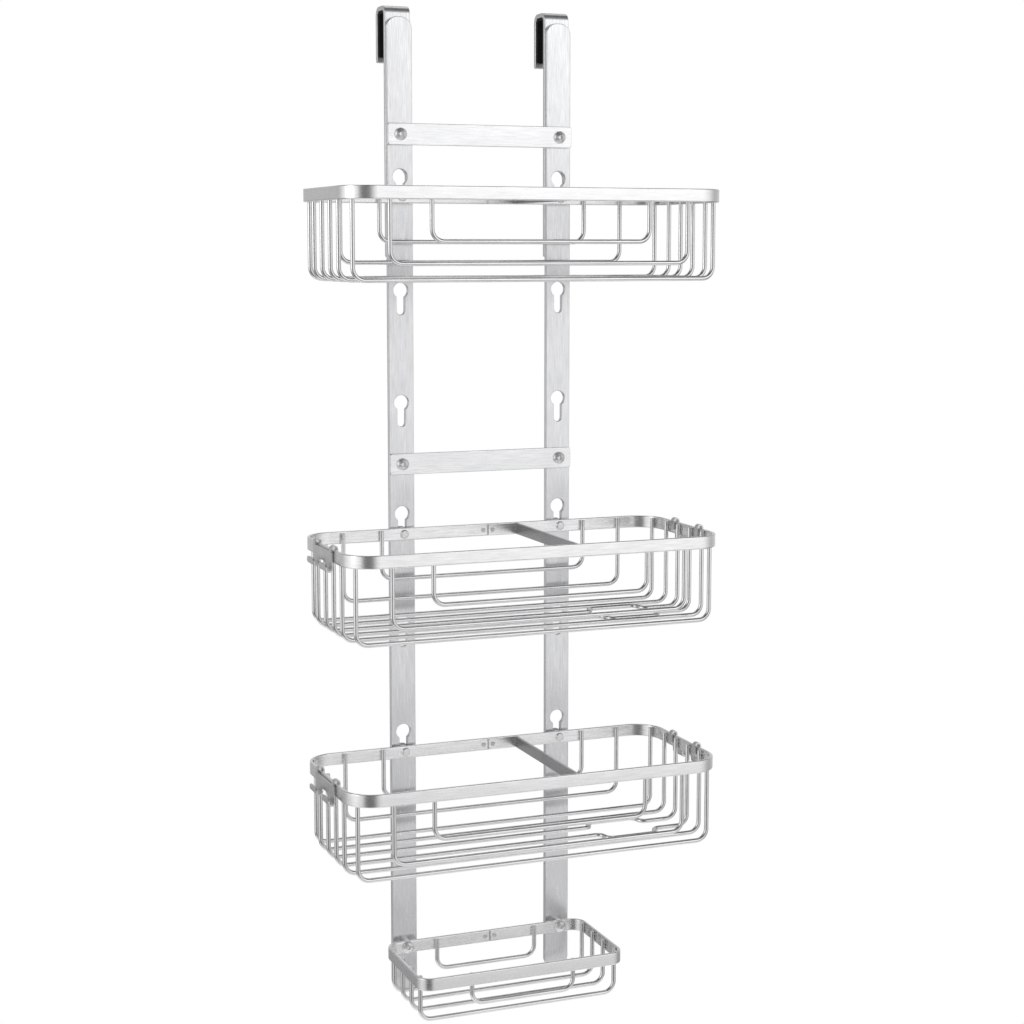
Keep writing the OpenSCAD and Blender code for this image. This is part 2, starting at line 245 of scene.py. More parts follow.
rail_metal = brushed("rail_aluminium", (0.84, 0.845, 0.85), (0.76, 0.765, 0.775), 0.30, 0.35)
first_keyhole, keyhole_step, keyholes = -127 * mm, 89 * mm, 6
keyhole_radius, keyhole_slot, keyhole_drop = 6 * mm, 3.25 * mm, 16 * mm
screw_bore, rail_end, broken_edge = 2.7 * mm, 9 * mm, 0.6 * mm
for side in ("left", "right"):
    low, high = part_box("rail_" + side)
    middle = (low.x + high.x) / 2
    width, length, thick = high.x - low.x, high.z - low.z, high.y - low.y
    corners = [Vector((low.z, -width / 2)), Vector((high.z, -width / 2)),
               Vector((high.z, width / 2)), Vector((low.z, width / 2))]
    holes = []
    for row in range(keyholes):
        hole = keyhole(keyhole_radius, keyhole_slot, keyhole_drop)
        # The blank's U runs up the rail and V to its left, so a keyhole is drawn turned a quarter to the left
        holes.append([Vector((p.y + first_keyhole - row * keyhole_step, -p.x)) for p in hole])
    for node in ("upper_brace_screws", "lower_brace_screws", "dish_screws"):
        screw_low, screw_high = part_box(node)
        holes.append(round_hole((screw_low.z + screw_high.z) / 2, screw_bore))
    blank = sheet_blank(round_corners(corners, [rail_end] * 4, 12), holes, thick, broken_edge)
    set_piece("rail." + side, blank, lambda p: Vector((middle - p.y, low.y + p.z, p.x)), "frame",
              ["rail_" + side], rail_metal)

# ---- Hook strips ----
# Behind each rail is a flat bar of the same aluminium, bent twice at its top into the hook that goes over the
# door. The highest keyhole is punched through it as well, and the upper brace's screw is tapped into it.


def fold(bm, stations):
    """Cuts a blank across at each of these distances along U, so that it can be bent there."""
    for u in stations:
        bmesh.ops.bisect_plane(bm, geom=bm.verts[:] + bm.edges[:] + bm.faces[:], dist=1e-7,
                               plane_co=(u, 0, 0), plane_no=(1, 0, 0))


def bent_path(start, heading, moves):
    """A path in a plane from its moves: ("run", length) is straight, ("turn", radius, degrees) bends."""
    pieces, u, at, facing = [], 0.0, Vector(start), math.radians(heading)
    for move in moves:
        if move[0] == "run":
            pieces.append((u, u + move[1], at.copy(), facing, None, 0))
            at += Vector((math.cos(facing), math.sin(facing))) * move[1]
            u += move[1]
        else:
            radius, angle = move[1], math.radians(move[2])
            way = 1 if angle > 0 else -1
            centre = at + Vector((-math.sin(facing), math.cos(facing))) * radius * way
            pieces.append((u, u + radius * abs(angle), at.copy(), facing, centre, way))
            facing += angle
            at = centre + Vector((math.sin(facing), -math.cos(facing))) * radius * way
            u += radius * abs(angle)
    return pieces, u


def on_path(pieces, u):
    """The point and the left-hand normal at distance u along a path."""
    for begin, end, at, facing, centre, way in pieces:
        if u <= end or (begin, end) == (pieces[-1][0], pieces[-1][1]):
            if centre is None:
                along = Vector((math.cos(facing), math.sin(facing)))
                return at + along * (u - begin), Vector((-along.y, along.x))
            radius = (at - centre).length
            turned = facing + way * (u - begin) / radius
            normal = Vector((-math.sin(turned), math.cos(turned)))
            return centre - normal * radius * way, normal


def bend_stations(pieces, steps):
    """The distances along a path at which its bends have to be cut."""
    found = []
    for begin, end, at, facing, centre, way in pieces:
        if centre is not None:
            found += [begin + (end - begin) * k / steps for k in range(steps + 1)]
    return found


hook_bend, tail, strip_corner, strip_edge = 7 * mm, 37.5 * mm, 1.5 * mm, 0.5 * mm
# Wider than a rail's keyhole and as wide all the way down, so that a stud's head passes and slides
head_way, head_slot = 6.3 * mm, 6.29 * mm
for side in ("left", "right"):
    low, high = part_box("hook_strip_" + side)
    middle = (low.x + high.x) / 2
    strip_thick = high.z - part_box("hook_liner_" + side)[1].z
    leg = high.z - hook_bend - low.z
    # Drawn in Y and Z along the face that touches the rail: up, over to the rear and down the tail
    path, total = bent_path((low.y, low.z), 90, [
        ("run", leg), ("turn", hook_bend, -90), ("run", high.y - low.y - 2 * hook_bend),
        ("turn", hook_bend, -90), ("run", high.z - hook_bend + tail)])
    width = high.x - low.x
    corners = [Vector((0, -width / 2)), Vector((total, -width / 2)),
               Vector((total, width / 2)), Vector((0, width / 2))]
    top_hole = first_keyhole - low.z
    hole = keyhole(head_way, head_slot, keyhole_drop)
    holes = [[Vector((p.y + top_hole, -p.x)) for p in hole]]
    blank = sheet_blank(round_corners(corners, [strip_corner] * 4, 5), holes, strip_thick, strip_edge)
    fold(blank, bend_stations(path, 10))

    def over_the_door(p):
        at, left = on_path(path, p.x)
        at = at - left * p.z
        return Vector((middle - p.y, at.x, at.y))

    set_piece("hook_strip." + side, blank, over_the_door, "frame", ["hook_strip_" + side],
              rail_metal)

# ---- Hook liners ----
# A channel of black rubber is pressed into each hook, so that metal never touches the door. It is moulded a
# little narrower than the hook, with soft edges and fine ribs inside that grip the glass.

rubber = bpy.data.materials.new("black_rubber")
rubber.use_nodes = True
tree = rubber.node_tree
shader = tree.nodes["Principled BSDF"]
shader.inputs["Roughness"].default_value = 0.62
shader.inputs["Specular IOR Level"].default_value = 0.2
grain = tree.nodes.new("ShaderNodeAttribute")
grain.attribute_name = "grain"
mottle = tree.nodes.new("ShaderNodeTexNoise")
mottle.inputs["Scale"].default_value = 260
mottle.inputs["Detail"].default_value = 4
tree.links.new(grain.outputs["Vector"], mottle.inputs["Vector"])
tone = tree.nodes.new("ShaderNodeValToRGB")
tone.color_ramp.elements[0].color = (0.004, 0.004, 0.0045, 1)
tone.color_ramp.elements[1].color = (0.014, 0.014, 0.015, 1)
tree.links.new(mottle.outputs["Fac"], tone.inputs["Fac"])
tree.links.new(tone.outputs["Color"], shader.inputs["Base Color"])
pits = tree.nodes.new("ShaderNodeTexNoise")
pits.inputs["Scale"].default_value = 2600
tree.links.new(grain.outputs["Vector"], pits.inputs["Vector"])
skin = tree.nodes.new("ShaderNodeBump")
skin.inputs["Strength"].default_value = 0.5
skin.inputs["Distance"].default_value = 0.00008
tree.links.new(pits.outputs["Fac"], skin.inputs["Height"])
tree.links.new(skin.outputs["Normal"], shader.inputs["Normal"])

rib_pitch, rib_depth, liner_bend, liner_edge = 2.5 * mm, 0.25 * mm, 3.5 * mm, 0.5 * mm
for side in ("left", "right"):
    low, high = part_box("hook_liner_" + side)
    middle = (low.x + high.x) / 2
    thick = high.z
    leg = high.z - liner_bend - low.z
    path, total = bent_path((low.y, low.z), 90, [
        ("run", leg), ("turn", liner_bend, -90), ("run", high.y - low.y - 2 * liner_bend),
        ("turn", liner_bend, -90), ("run", leg)])
    width = high.x - low.x
    corners = [Vector((0, -width / 2)), Vector((total, -width / 2)),
               Vector((total, width / 2)), Vector((0, width / 2))]
    blank = sheet_blank(round_corners(corners, [strip_corner] * 4, 5), [], thick, liner_edge)
    ribs = int(leg / rib_pitch)
    rib_cuts = [first + rib_pitch * (k + part) for first in (0, total - ribs * rib_pitch)
                for k in range(1, ribs) for part in (0, 0.25, 0.5, 0.75)]
    fold(blank, bend_stations(path, 8) + rib_cuts)

    def along_the_hook(p):
        at, left = on_path(path, p.x)
        flank = min(p.x, total - p.x)
        depth = p.z
        on_the_inside = p.z > thick * 0.9
        if on_the_inside and rib_pitch < flank < (ribs - 1) * rib_pitch:
            depth -= rib_depth * (0.5 - 0.5 * math.cos(math.tau * flank / rib_pitch))
        at = at - left * depth
        return Vector((middle - p.y, at.x, at.y))

    set_piece("hook_liner." + side, blank, along_the_hook, "frame", ["hook_liner_" + side],
              rubber, 50)

# ---- Braces ----
# Two flat aluminium bars hold the rails apart. They are sheared from the same stock, drilled at both ends,
# brushed along their own length and screwed to the rails' front faces.

brace_metal = brushed("brace_aluminium", (0.90, 0.90, 0.905), (0.83, 0.835, 0.84), 0.27, 0.3)
rail_middle = (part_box("rail_right")[0].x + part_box("rail_right")[1].x) / 2
brace_corner, brace_edge = 2 * mm, 0.45 * mm
for which in ("upper", "lower"):
    low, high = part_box(which + "_brace")
    middle = (low + high) / 2
    half, tall = (high.x - low.x) / 2, (high.z - low.z) / 2
    corners = [Vector((-half, -tall)), Vector((half, -tall)), Vector((half, tall)), Vector((-half, tall))]
    holes = [round_hole(-rail_middle, screw_bore), round_hole(rail_middle, screw_bore)]
    blank = sheet_blank(round_corners(corners, [brace_corner] * 4, 6), holes, high.y - low.y, brace_edge)
    set_piece("brace." + which, blank, lambda p: Vector((p.x, low.y + p.z, middle.z + p.y)), "frame",
              [which + "_brace"], brace_metal)

# ---- Screws and nuts ----
# Button-head socket screws of stainless steel hold the braces and the dish. Heads are cold formed and barrel
# polished, the threads are rolled, and thin chamfered hexagon nuts close the lower ones from behind.

screw_metal = brushed("fastener_steel", (0.96, 0.96, 0.96), (0.90, 0.90, 0.90), 0.40, 0.2,
                      (500, 500, 500), (2500, 2500, 2500))
facets = 48
thread_pitch = 0.8 * mm


def six_sided(across, k):
    """Radius of a hexagon of that width across flats, towards facet k."""
    a = (math.tau * k / facets) % (math.tau / 6) - math.tau / 12
    return across / 2 / math.cos(a)


def turned_part(rings, tube=False):
    """A part turned about its W axis from rings of (w, radius). Both may be functions of the facet."""
    bm = bmesh.new()
    made = []
    for w, radius in rings:
        ring = []
        for k in range(facets):
            a = math.tau * k / facets
            r = radius(k) if callable(radius) else radius
            h = w(k) if callable(w) else w
            ring.append(bm.verts.new((h, r * math.cos(a), r * math.sin(a))))
        made.append(ring)
    pairs = list(zip(made, made[1:]))
    if tube:
        pairs.append((made[-1], made[0]))
    for a, b in pairs:
        for k in range(facets):
            j = (k + 1) % facets
            bm.faces.new((a[k], a[j], b[j], b[k]))
    if not tube:
        bm.faces.new(made[0])
        bm.faces.new(made[-1])
    bmesh.ops.recalc_face_normals(bm, faces=bm.faces)
    return bm


def joined(blanks_and_moves):
    """Several blanks in one: each goes where its own move takes it, and keeps its own grain."""
    whole = bmesh.new()
    kept = whole.verts.layers.float_vector.new("own")
    for bm, move in blanks_and_moves:
        made = {}
        for v in bm.verts:
            made[v] = whole.verts.new(move(v.co))
            made[v][kept] = v.co
        for f in bm.faces:
            whole.faces.new([made[v] for v in f.verts])
        bm.free()
    return whole


def set_joined(name, parts, body, stands_for, finish, sharp=35):
    """Makes one piece from several blanks, as like fasteners or the wires of one floor are kept together."""
    bm = joined(parts)
    own = bm.verts.layers.float_vector["own"]
    places = [v.co.copy() for v in bm.verts]
    for v in bm.verts:
        v.co = v[own]
    seats = iter(places)
    return set_piece(name, bm, lambda p: next(seats), body, stands_for, finish, sharp)


def screw(head_r, head_t, shank_r, reach):
    """A button-head screw: its head's seat is at 0, the head rises to -head_t and the shank ends at reach."""
    dome, socket, socket_deep, socket_lip = 6.2 * mm, 3.0 * mm, 1.7 * mm, 0.25 * mm
    rings = [(-head_t + socket_deep, 0.2 * mm),
             (-head_t + socket_deep - 0.2 * mm, lambda k: six_sided(socket, k) * 0.96),
             (-head_t + socket_lip, lambda k: six_sided(socket, k)),
             (-head_t, lambda k: six_sided(socket, k) + socket_lip)]
    crown_r, dome_steps = 2.1 * mm, 8
    for k in range(1, dome_steps):
        r = crown_r + (head_r - crown_r) * k / dome_steps
        rings.append((-head_t + dome - math.sqrt(dome ** 2 - r ** 2), r))
    edge = -head_t + dome - math.sqrt(dome ** 2 - head_r ** 2)
    rings += [(min(edge, -0.5 * mm), head_r - 0.02 * mm), (-0.35 * mm, head_r),
              (-0.1 * mm, head_r - 0.05 * mm), (0, head_r - 0.3 * mm),
              (0, shank_r + 0.3 * mm), (0.3 * mm, shank_r)]
    thread_start, thread_deep, rings_a_turn = 0.6 * mm, 0.36 * mm, 8
    w = thread_start
    while w < reach - 0.5 * mm:
        rings.append((w, lambda k, w=w: shank_r - thread_deep * abs(
            (w / thread_pitch + k / facets) % 1.0 * 2 - 1)))
        w += thread_pitch / rings_a_turn
    rings += [(reach - 0.45 * mm, shank_r - 0.4 * mm), (reach, shank_r - 0.8 * mm)]
    return turned_part(rings)


def nut(across, bore, thick):
    """A chamfered hexagon nut from 0 to thick."""
    mouth, face_r, chamfer, slope = bore + 0.35 * mm, across / 2 - 0.15 * mm, 0.12 * mm, 0.55

    def hexagon(k):
        return six_sided(across, k)

    def bevel(w, way):
        return lambda k: w + (hexagon(k) - across / 2) * slope * way

    rings = [(0.0, bore), (0.0, mouth), (0.0, face_r), (bevel(chamfer, 1), hexagon),
             (bevel(thick - chamfer, -1), hexagon), (thick, face_r), (thick, mouth), (thick - 0.3 * mm, bore)]
    return turned_part(rings, tube=True)


def from_the_front(x, y, z):
    """Places a turned part with its W axis running to the rear."""
    return lambda p: Vector((x + p.y, y + p.x, z + p.z))


brace_front, rim_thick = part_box("upper_brace")[0].y, 2.5 * mm
seats = {"upper_brace_screws": brace_front, "lower_brace_screws": brace_front,
         "dish_screws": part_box("dish_rim")[1].y - rim_thick}
shank_r, nut_bore = 2.48 * mm, 2.5 * mm
for node, seat in seats.items():
    low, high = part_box(node)
    z = (low.z + high.z) / 2
    parts = [(screw((high.z - low.z) / 2, seat - low.y, shank_r, high.y - seat),
              from_the_front(x, seat, z)) for x in (-rail_middle, rail_middle)]
    set_joined(node.replace("_", "."), parts, "frame", [node], screw_metal, 30)
for node in ("lower_brace_nuts", "dish_nuts"):
    low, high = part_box(node)
    z = (low.z + high.z) / 2
    across = (high.z - low.z) * 0.999
    parts = [(nut(across, nut_bore, high.y - low.y), from_the_front(x, low.y, z))
             for x in (-rail_middle, rail_middle)]
    set_joined(node.replace("_", "."), parts, "frame", [node], screw_metal, 30)

# ---- Dish spacers ----
# Two short turned tubes of stainless steel sit on the dish's screws between its rim and the rails. They hold
# the rim off the rails, so that water doesn't stay between.

low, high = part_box("dish_spacers")
radius, length = (high.z - low.z) / 2, high.y - low.y
spacer_bore, chamfer = 2.8 * mm, 0.4 * mm
parts = []
for x in (-rail_middle, rail_middle):
    spacer = turned_part([(0, spacer_bore), (0, radius - chamfer), (chamfer, radius),
                          (length / 2, radius - 0.02 * mm), (length - chamfer, radius),
                          (length, radius - chamfer), (length, spacer_bore)], tube=True)
    parts.append((spacer, from_the_front(x, low.y, (low.z + high.z) / 2)))
set_joined("dish.spacers", parts, "frame", ["dish_spacers"], screw_metal, 30)

# ---- Door bumpers ----
# A moulded button of the same black rubber is stuck flat on the back of each rail's foot. It rests on the
# door and holds the caddy plumb.

for side in ("left", "right"):
    low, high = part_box("door_bumper_" + side)
    radius, length = (high.z - low.z) / 2, high.y - low.y
    groove_r = radius - 0.35 * mm
    # From the rail: a shallow groove round the middle, a soft outer edge and a dimple in the end
    rings = [(0, radius - 0.3 * mm), (0.3 * mm, radius), (length * 0.35, radius), (length * 0.42, groove_r),
             (length * 0.5, groove_r), (length * 0.57, radius), (length - 1.2 * mm, radius - 0.1 * mm),
             (length - 0.5 * mm, radius - 0.45 * mm), (length - 0.1 * mm, radius - 1.1 * mm),
             (length, radius - 2 * mm), (length, 2.2 * mm), (length - 0.4 * mm, 1.4 * mm)]
    button = turned_part(rings)
    middle = (low + high) / 2
    set_piece("door_bumper." + side, button, from_the_front(middle.x, low.y, middle.z), "frame",
              ["door_bumper_" + side], rubber, 40)

# ---- Rims ----
# Every basket and the dish hangs from a band of flat steel, bent round four corners until its ends butt near
# the middle of the rear, where two spot welds inside close it. Its edges are rolled and it is satin brushed.

rim_metal = brushed("rim_steel", (0.96, 0.96, 0.96), (0.90, 0.90, 0.905), 0.25, 0.25)
rim_edge, rim_end_corner = 0.8 * mm, 0.6 * mm
seam_x, seam_gap = 4 * mm, 0.05 * mm
rims = {"basket_1": 24 * mm, "basket_2": 24 * mm, "basket_3": 24 * mm, "dish": 12 * mm}
rim_body = {"basket_1": "basket_1", "basket_2": "basket_2", "basket_3": "basket_3", "dish": "frame"}
for basket, radius in rims.items():
    low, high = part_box(basket + "_rim")
    middle = (low + high) / 2
    half_w, half_d, half_h = (high.x - low.x) / 2, (high.y - low.y) / 2, (high.z - low.z) / 2
    across, deep = 2 * (half_w - radius), 2 * (half_d - radius)
    path, total = bent_path((seam_x, high.y), 0, [
        ("run", across / 2 - seam_x), ("turn", radius, -90), ("run", deep), ("turn", radius, -90),
        ("run", across), ("turn", radius, -90), ("run", deep), ("turn", radius, -90),
        ("run", across / 2 + seam_x)])
    total -= seam_gap
    corners = [Vector((0, -half_h)), Vector((total, -half_h)), Vector((total, half_h)), Vector((0, half_h))]
    blank = sheet_blank(round_corners(corners, [rim_end_corner] * 4, 3), [], rim_thick, rim_edge, 4)
    fold(blank, bend_stations(path, 14))

    def round_the_rim(p):
        at, left = on_path(path, p.x)
        at = at - left * p.z
        return Vector((at.x, at.y, middle.z + p.y))

    set_piece(basket + ".rim", blank, round_the_rim, rim_body[basket], [basket + "_rim"],
              rim_metal)

# ---- Wires ----
# Floors and wall guards are drawn steel wire, each bent into a U whose two ends are welded inside the rim.
# The two middle floor wires of a basket bow apart round the place for an upside-down bottle.

wire_metal = brushed("wire_steel", (0.86, 0.86, 0.86), (0.76, 0.76, 0.765), 0.22, 0.2,
                     (40, 1500, 1500), (60, 6000, 6000))


def wire_line(corners, radii, steps=10):
    """The middle line of a wire through these corners, each bent to its radius."""
    line = [corners[0]]
    for before, corner, after, radius in zip(corners, corners[1:], corners[2:], radii):
        back = (before - corner).normalized()
        on = (after - corner).normalized()
        half = back.angle(on) / 2
        centre = corner + (back + on).normalized() * radius / math.sin(half)
        start = corner + back * radius / math.tan(half) - centre
        end = corner + on * radius / math.tan(half) - centre
        turn = start.angle(end)
        for k in range(steps + 1):
            part = turn * k / steps
            point = (start * math.sin(turn - part) + end * math.sin(part)) / math.sin(turn)
            line.append(centre + point)
    line.append(corners[-1])
    kept = [line[0]]
    for p in line[1:]:
        if (p - kept[-1]).length > 1e-6:
            kept.append(p)
    return kept


def drawn_wire(line, radius, sides=20):
    """A wire along a line, its cut ends deburred: the blank is the wire pulled straight along U."""
    first = (line[1] - line[0]).normalized()
    last = (line[-1] - line[-2]).normalized()
    burr = 0.35 * mm
    # Each end is rounded over in two steps, to these parts of the wire's full radius
    end_size, near_end_size = 0.72, 0.93
    line = [line[0], line[0] + first * burr * 0.4, line[0] + first * burr, *line[1:-1],
            line[-1] - last * burr, line[-1] - last * burr * 0.4, line[-1]]
    sizes = [end_size, near_end_size] + [1.0] * (len(line) - 4) + [near_end_size, end_size]
    far, frames = [0.0], []
    normal = first.orthogonal().normalized()
    for i, at in enumerate(line):
        if i:
            far.append(far[-1] + (at - line[i - 1]).length)
        before = (at - line[i - 1]).normalized() if i else first
        after = (line[i + 1] - at).normalized() if i < len(line) - 1 else last
        along = (before + after).normalized()
        normal = (normal - along * normal.dot(along)).normalized()
        frames.append((at, normal, along.cross(normal)))
    bm = bmesh.new()
    rings = []
    for u, size in zip(far, sizes):
        rings.append([bm.verts.new((u, radius * size * math.cos(math.tau * k / sides),
                                    radius * size * math.sin(math.tau * k / sides))) for k in range(sides)])
    for a, b in zip(rings, rings[1:]):
        for k in range(sides):
            j = (k + 1) % sides
            bm.faces.new((a[k], a[j], b[j], b[k]))
    bm.faces.new(rings[0])
    bm.faces.new(rings[-1])

    def bend(p):
        nearest = min(range(len(far)), key=lambda i: abs(far[i] - p.x))
        at, normal, other = frames[nearest]
        return at + normal * p.y + other * p.z

    return bm, bend


def u_wire(half, y, top, run, radius, bow=None):
    """A U of wire; bow is (x0, x1, y of the bow, step) for one that goes round the bottle opening."""
    leg_bend, bow_bend = 9 * mm, 5.994 * mm
    corners = [Vector((-half, y, top)), Vector((-half, y, run))]
    radii = [leg_bend]
    if bow:
        x0, x1, y_bow, step = bow
        corners += [Vector((x0 - step / 2, y, run)), Vector((x0 - step / 2, y_bow, run)),
                    Vector((x1 + step / 2, y_bow, run)), Vector((x1 + step / 2, y, run))]
        radii += [bow_bend] * 4
    corners += [Vector((half, y, run)), Vector((half, y, top))]
    radii.append(leg_bend)
    return drawn_wire(wire_line(corners, radii), radius)


openings = {o["name"]: o["box_m"] for o in frame["record"]["physics"]["openings"]}
wire_r, weld_in = 1.75 * mm, 0.05 * mm
basket_wires, dish_wires, bow_step = 6, 4, 12 * mm
bowed_to_front, bowed_to_rear = 3, 2
welds = {}
for basket, corner_r in rims.items():
    low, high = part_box(basket + "_floor_wires")
    rim_low, rim_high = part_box(basket + "_rim")
    top, run = high.z, low.z + wire_r
    reach = corner_r - rim_thick - wire_r + weld_in
    count = dish_wires if basket == "dish" else basket_wires
    rear, front = high.y - wire_r, low.y + wire_r
    parts, feet = [], []
    for i in range(count):
        y = rear + (front - rear) * i / (count - 1)
        in_from_end = min(rim_high.y - y, y - rim_low.y)
        # The outermost wires end against the rim's round corners, a little nearer to the middle than the rest
        lean = max(0.0, corner_r - in_from_end)
        out = math.sqrt(reach ** 2 - lean ** 2)
        half = (rim_high.x - rim_low.x) / 2 - corner_r + out
        bow = None
        if basket != "dish" and i in (bowed_to_rear, bowed_to_front):
            near, far_off = openings[basket + "_bottle_opening"]
            way = 1 if i == bowed_to_rear else -1
            bow = (near[0], far_off[0], y + way * bow_step, bow_step)
        parts.append(u_wire(half, y, top, run, wire_r, bow))
        normal = Vector((out, lean if i < count / 2 else -lean, 0)).normalized()
        for side in (-1, 1):
            feet.append((Vector((side * half, y, 0)), Vector((side * normal.x, normal.y, 0))))
    set_joined(basket + ".floor_wires", parts, rim_body[basket], [basket + "_floor_wires"],
               wire_metal)
    guards = ["front_guard", "rear_guard"] if basket == "dish" else [
        "front_inner_guard", "front_outer_guard", "rear_inner_guard", "rear_outer_guard"]
    for guard in guards:
        low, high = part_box(basket + "_" + guard)
        half = (high.x - low.x) / 2 - wire_r
        y = (low.y + high.y) / 2
        set_joined(basket + "." + guard, [u_wire(half, y, high.z, low.z + wire_r, wire_r)],
                   rim_body[basket], [basket + "_" + guard], wire_metal)
        facing = Vector((0, 1 if guard.startswith("rear") else -1, 0))
        feet += [(Vector((side * half, y, 0)), facing) for side in (-1, 1)]
    welds[basket] = (feet, (rim_low.z + rim_high.z) / 2)

# ---- Welds ----
# Each wire end is resistance welded to the rim in two places, and each weld leaves a small nugget between
# wire and rim. The rim's own two spot welds show as shallow rings inside its rear.


def nugget(length, width, height, seed):
    """A small lump of weld metal, longest along U, a little uneven."""
    bm = bmesh.new()
    bmesh.ops.create_icosphere(bm, subdivisions=2, radius=1.0)
    for v in bm.verts:
        lump = 1 + 0.12 * noise.noise(v.co * 1.7 + Vector((seed * 3.1, seed * 1.7, 0)))
        v.co = Vector((v.co.x * length, v.co.y * width, v.co.z * height)) * lump
    return bm


weld_metal = brushed("weld_steel", (0.72, 0.72, 0.72), (0.58, 0.575, 0.57), 0.34, 0.5,
                     (900, 900, 900), (3000, 3000, 3000))
weld_lifts, weld_deep, spot_off = (-3.1 * mm, 2.2 * mm), 0.25 * mm, 4 * mm
for basket, (feet, z) in welds.items():
    parts = []
    for n, (foot, facing) in enumerate(feet):
        sideways = Vector((-facing.y, facing.x, 0))
        for lift in weld_lifts:
            touch = Vector((foot.x, foot.y, z + lift)) + facing * (wire_r - weld_deep)

            def seat(p, touch=touch, sideways=sideways, facing=facing):
                return touch + Vector((0, 0, p.x)) + sideways * p.y + facing * p.z

            parts.append((nugget(1.5 * mm, 1.55 * mm, 0.55 * mm, n + lift / mm), seat))
    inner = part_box(basket + "_rim")[1].y - rim_thick
    for x in (seam_x - spot_off, seam_x + spot_off):
        ring = turned_part([(0.1 * mm, 2.0 * mm), (-0.08 * mm, 1.8 * mm), (-0.16 * mm, 1.5 * mm),
                            (-0.08 * mm, 1.2 * mm), (-0.02 * mm, 0.6 * mm)])
        parts.append((ring, from_the_front(x, inner, z)))
    set_joined(basket + ".welds", parts, rim_body[basket], [], weld_metal, 60)

# ---- Dividers ----
# A flat bar across each basket keeps bottles apart. It is sheared from thinner band and welded between the
# front and rear of the rim, so its grain runs across the basket.

# The divider's steel is given a much darker base than the rim steel, so the bar stands darker than the rim.
divider_metal = brushed("divider_steel", (0.56, 0.56, 0.565), (0.48, 0.48, 0.49), 0.30, 0.35)
divider_edge = 0.5 * mm
for basket in ("basket_1", "basket_2", "basket_3"):
    low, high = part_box(basket + "_divider")
    half_h, length = (high.z - low.z) / 2, high.y - low.y
    corners = [Vector((0, -half_h)), Vector((length, -half_h)), Vector((length, half_h)), Vector((0, half_h))]
    blank = sheet_blank(round_corners(corners, [divider_edge] * 4, 3), [], high.x - low.x, divider_edge)
    middle = (low.z + high.z) / 2
    set_piece(basket + ".divider", blank, lambda p: Vector((high.x - p.z, low.y + p.x, middle + p.y)), basket,
              [basket + "_divider"], divider_metal)

# ---- Studs ----
# Two turned shoulder studs on the back of each basket slip into the keyholes and drop down their slots. Each
# is riveted through the rim, and the rivet's head shows inside the basket.

rivet_r, foot_r, collar_r, neck_r, head_r = 3.6 * mm, 2.0 * mm, 5.0 * mm, 3.15 * mm, 5.5 * mm
stud_edge, stud_head = 0.3 * mm, 1.8 * mm
for basket in ("basket_1", "basket_2", "basket_3"):
    low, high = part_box(basket + "_studs")
    z = (low.z + high.z) / 2
    rim_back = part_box(basket + "_rim")[1].y
    rivet = rim_back - rim_thick - low.y
    rim_rear = rivet + rim_thick
    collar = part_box("rail_left")[0].y - 0.1 * mm - low.y
    end = high.y - low.y
    head = end - stud_head
    rings = [(0, 2.3 * mm), (0.15 * mm, 2.75 * mm), (0.6 * mm, 3.25 * mm), (rivet - 0.2 * mm, rivet_r),
             (rivet, rivet_r), (rivet, foot_r), (rim_rear, foot_r), (rim_rear, collar_r - stud_edge),
             (rim_rear + stud_edge, collar_r), (collar - stud_edge, collar_r),
             (collar, collar_r - stud_edge), (collar, neck_r), (head, neck_r), (head, head_r - stud_edge),
             (head + stud_edge, head_r), (end - 0.5 * mm, head_r), (end - 0.12 * mm, head_r - stud_edge),
             (end, head_r - 0.8 * mm)]
    parts = [(turned_part(rings), from_the_front(x, low.y, z)) for x in (-rail_middle, rail_middle)]
    set_joined(basket + ".studs", parts, basket, [basket + "_studs"], screw_metal, 30)

# ---- Side hooks ----
# Two of the baskets carry a hook on each end for razors and cloths. Each is one stamped steel sheet: two
# narrow tabs fold over the rim and down inside it, and two wide prongs below curl up. It slides on the rim.

